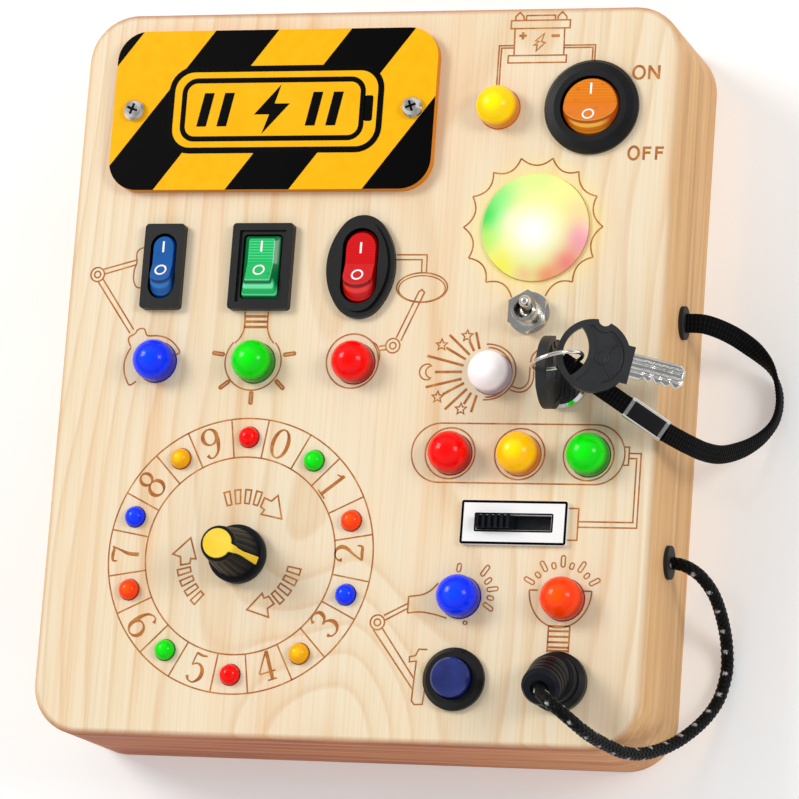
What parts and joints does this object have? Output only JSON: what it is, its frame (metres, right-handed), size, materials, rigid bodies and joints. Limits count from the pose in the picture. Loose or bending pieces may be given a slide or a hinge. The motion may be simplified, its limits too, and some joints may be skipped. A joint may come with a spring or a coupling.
{
  "type": "wooden busy board",
  "caption": "Toddler's wooden activity board with lamps worked by rocker, toggle, push, slide, rotary and key switches, a number dial, and a jack plug and a key tied to it by cords.",
  "frame": {"origin": "centre of the back face, on the surface that the board lies on", "axes": "+X to the board's right, +Y to its top, +Z out of its front"},
  "size_m": [0.1714, 0.1794, 0.0618],
  "materials": {
    "pine": "sanded and clear sealed, with burnt brown line drawings",
    "panel_wood": "sanded plywood",
    "nickel": "bright nickel plate",
    "lock_chrome": "polished chrome",
    "black_plastic": "satin",
    "key_plastic": "moulded, fine satin",
    "black_rubber": "soft matt",
    "webbing": "ribbed webbing",
    "braid": "braided cord",
    "battery_sleeve": "gloss",
    "circuit_board": "solder mask",
    "sign_acrylic": "printed gloss, yellow and black",
    "switch_white": "gloss",
    "amber_cap": "translucent gloss",
    "blue_cap": "gloss",
    "green_cap": "translucent gloss",
    "red_cap": "translucent gloss",
    "navy_cap": "satin",
    "yellow_insert": "satin",
    "yellow_lens": "clear gloss",
    "blue_lens": "clear gloss",
    "green_lens": "clear gloss",
    "red_lens": "clear gloss",
    "orange_lens": "clear gloss",
    "white_lens": "milky gloss",
    "sun_acrylic": "milky acrylic, lit from inside in changing colours"
  },
  "bodies": {
    "case": {"wooden_case": "pine", "back_panel": "panel_wood", "screws": "nickel", "battery_box": "black_plastic", "battery_cover": "black_plastic", "batteries": "battery_sleeve", "battery_contacts": "nickel", "circuit_boards": "circuit_board", "solder_legs": "nickel", "sign_plate": "sign_acrylic", "round_rocker_frame": "black_plastic", "slim_rocker_frame": "black_plastic", "square_rocker_frame": "black_plastic", "oval_rocker_frame": "black_plastic", "yellow_lamps": "yellow_lens", "blue_lamps": "blue_lens", "green_lamps": "green_lens", "red_lamps": "red_lens", "white_lamp": "white_lens", "orange_lamp": "orange_lens", "dial_lamps_red": "red_lens", "dial_lamps_green": "green_lens", "dial_lamps_orange": "orange_lens", "dial_lamps_blue": "blue_lens", "dial_lamps_yellow": "yellow_lens", "sun_lens": "sun_acrylic", "toggle_body": "nickel", "toggle_nut": "nickel", "push_button_body": "black_plastic", "push_button_spring": "nickel", "slide_switch_body": "black_plastic", "slide_switch_plate": "switch_white", "rotary_switch_body": "black_plastic", "key_lock_body": "lock_chrome", "panel_nuts": "nickel", "strap_grommet": "black_rubber", "cord_grommet": "black_rubber", "jack_body": "black_plastic", "key_strap": "webbing"},
    "round_rocker": {"round_rocker_cap": "amber_cap"},
    "slim_rocker": {"slim_rocker_cap": "blue_cap"},
    "square_rocker": {"square_rocker_cap": "green_cap"},
    "oval_rocker": {"oval_rocker_cap": "red_cap"},
    "toggle": {"toggle_lever": "nickel"},
    "button": {"push_button_cap": "navy_cap"},
    "slider": {"slide_switch_knob": "black_plastic"},
    "dial": {"dial_shaft": "nickel", "dial_knob": "black_plastic", "knob_cap": "yellow_insert"},
    "lock_rotor": {"key_lock_rotor": "lock_chrome"},
    "key_set": {"key_ring": "nickel", "spare_key_head": "key_plastic", "spare_key_blade": "nickel", "strap_loop": "webbing", "strap_ferrule": "nickel"},
    "key": {"key_head": "key_plastic", "key_blade": "nickel"},
    "plug": {"plug_body": "black_plastic", "plug_pin": "nickel", "plug_cord": "braid"}
  },
  "joints": [
    {"name": "round_rock", "type": "hinge", "parent": "case", "child": "round_rocker", "pos_m": [0.054, 0.064, 0.0362], "axis": [1, 0, 0], "range_deg": [0, 24]},
    {"name": "slim_rock", "type": "hinge", "parent": "case", "child": "slim_rocker", "pos_m": [-0.0504, 0.025, 0.0362], "axis": [1, 0, 0], "range_deg": [0, 24]},
    {"name": "square_rock", "type": "hinge", "parent": "case", "child": "square_rocker", "pos_m": [-0.0253, 0.025, 0.0362], "axis": [1, 0, 0], "range_deg": [0, 24]},
    {"name": "oval_rock", "type": "hinge", "parent": "case", "child": "oval_rocker", "pos_m": [-0.0002, 0.025, 0.0362], "axis": [1, 0, 0], "range_deg": [0, 24]},
    {"name": "toggle_tilt", "type": "hinge", "parent": "case", "child": "toggle", "pos_m": [0.042, 0.014, 0.038], "axis": [0, 1, 0], "range_deg": [-26, 0]},
    {"name": "button_press", "type": "slide", "parent": "case", "child": "button", "axis": [0, 0, -1], "range_m": [0, 0.002], "stiffness_N_per_m": 300, "springref_m": -0.001, "deforming": ["push_button_spring"]},
    {"name": "slider_slide", "type": "slide", "parent": "case", "child": "slider", "axis": [1, 0, 0], "range_m": [0, 0.009]},
    {"name": "dial_turn", "type": "hinge", "parent": "case", "child": "dial", "pos_m": [-0.0253, -0.0452, 0.04], "axis": [0, 0, 1], "continuous": true},
    {"name": "key_pull", "type": "slide", "parent": "case", "child": "key_set", "axis": [0, 0, 1], "range_m": [0, 0.02]},
    {"name": "key_turn", "type": "hinge", "parent": "key_set", "child": "key", "pos_m": [0.0513, -0.0027, 0.045], "axis": [0, 0, 1], "range_deg": [0, 45]},
    {"name": "lock_turn", "type": "hinge", "parent": "case", "child": "lock_rotor", "pos_m": [0.0513, -0.0027, 0.03], "axis": [0, 0, 1], "range_deg": [0, 45]},
    {"name": "plug_pull", "type": "slide", "parent": "case", "child": "plug", "axis": [0, 0, 1], "range_m": [0, 0.016]}
  ],
  "couplings": [
    {"joint": "lock_turn", "follows": "key_turn", "ratio": 1}
  ]
}
